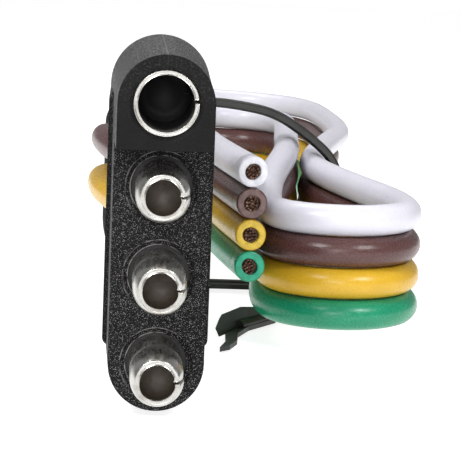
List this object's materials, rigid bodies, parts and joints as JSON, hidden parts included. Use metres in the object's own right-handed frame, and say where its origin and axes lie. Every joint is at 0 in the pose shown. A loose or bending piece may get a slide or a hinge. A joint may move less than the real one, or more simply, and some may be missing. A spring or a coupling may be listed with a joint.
{
  "type": "flat trailer wiring connector",
  "caption": "Moulded flat trailer plug with exposed rolled pins, a shrouded socket and a bonded ribbon lead wound in a tied hank",
  "frame": {"origin": "under the middle of the moulded connector, at the height of its lower end", "axes": "-Y the way the pins and the socket point, +Z along the row of terminals towards the shrouded socket, +X to the right seen from the mating side"},
  "size_m": [0.0375, 0.1739, 0.0323],
  "materials": {
    "housing_black": "moulded, fine spark-eroded grain",
    "carrier_black": "smooth moulded",
    "tinned_brass": "bright tin plate",
    "jacket_white": "semi-gloss extruded",
    "jacket_brown": "semi-gloss extruded",
    "jacket_yellow": "semi-gloss extruded",
    "jacket_green": "semi-gloss extruded",
    "copper": "bare drawn copper, slightly dulled",
    "tie_black": "satin plastic strip",
    "tie_steel": "drawn wire"
  },
  "bodies": {
    "root": {"housing_overmould": "housing_black", "terminal_carrier": "carrier_black", "socket_white": "tinned_brass", "pin_brown": "tinned_brass", "pin_yellow": "tinned_brass", "pin_green": "tinned_brass", "wire_white": "jacket_white", "conductor_white": "copper", "strand_ends_white": "copper", "wire_brown": "jacket_brown", "conductor_brown": "copper", "strand_ends_brown": "copper", "wire_yellow": "jacket_yellow", "conductor_yellow": "copper", "strand_ends_yellow": "copper", "wire_green": "jacket_green", "conductor_green": "copper", "strand_ends_green": "copper", "twist_tie_ribbon": "tie_black", "twist_tie_core": "tie_steel"}
  },
  "joints": []
}
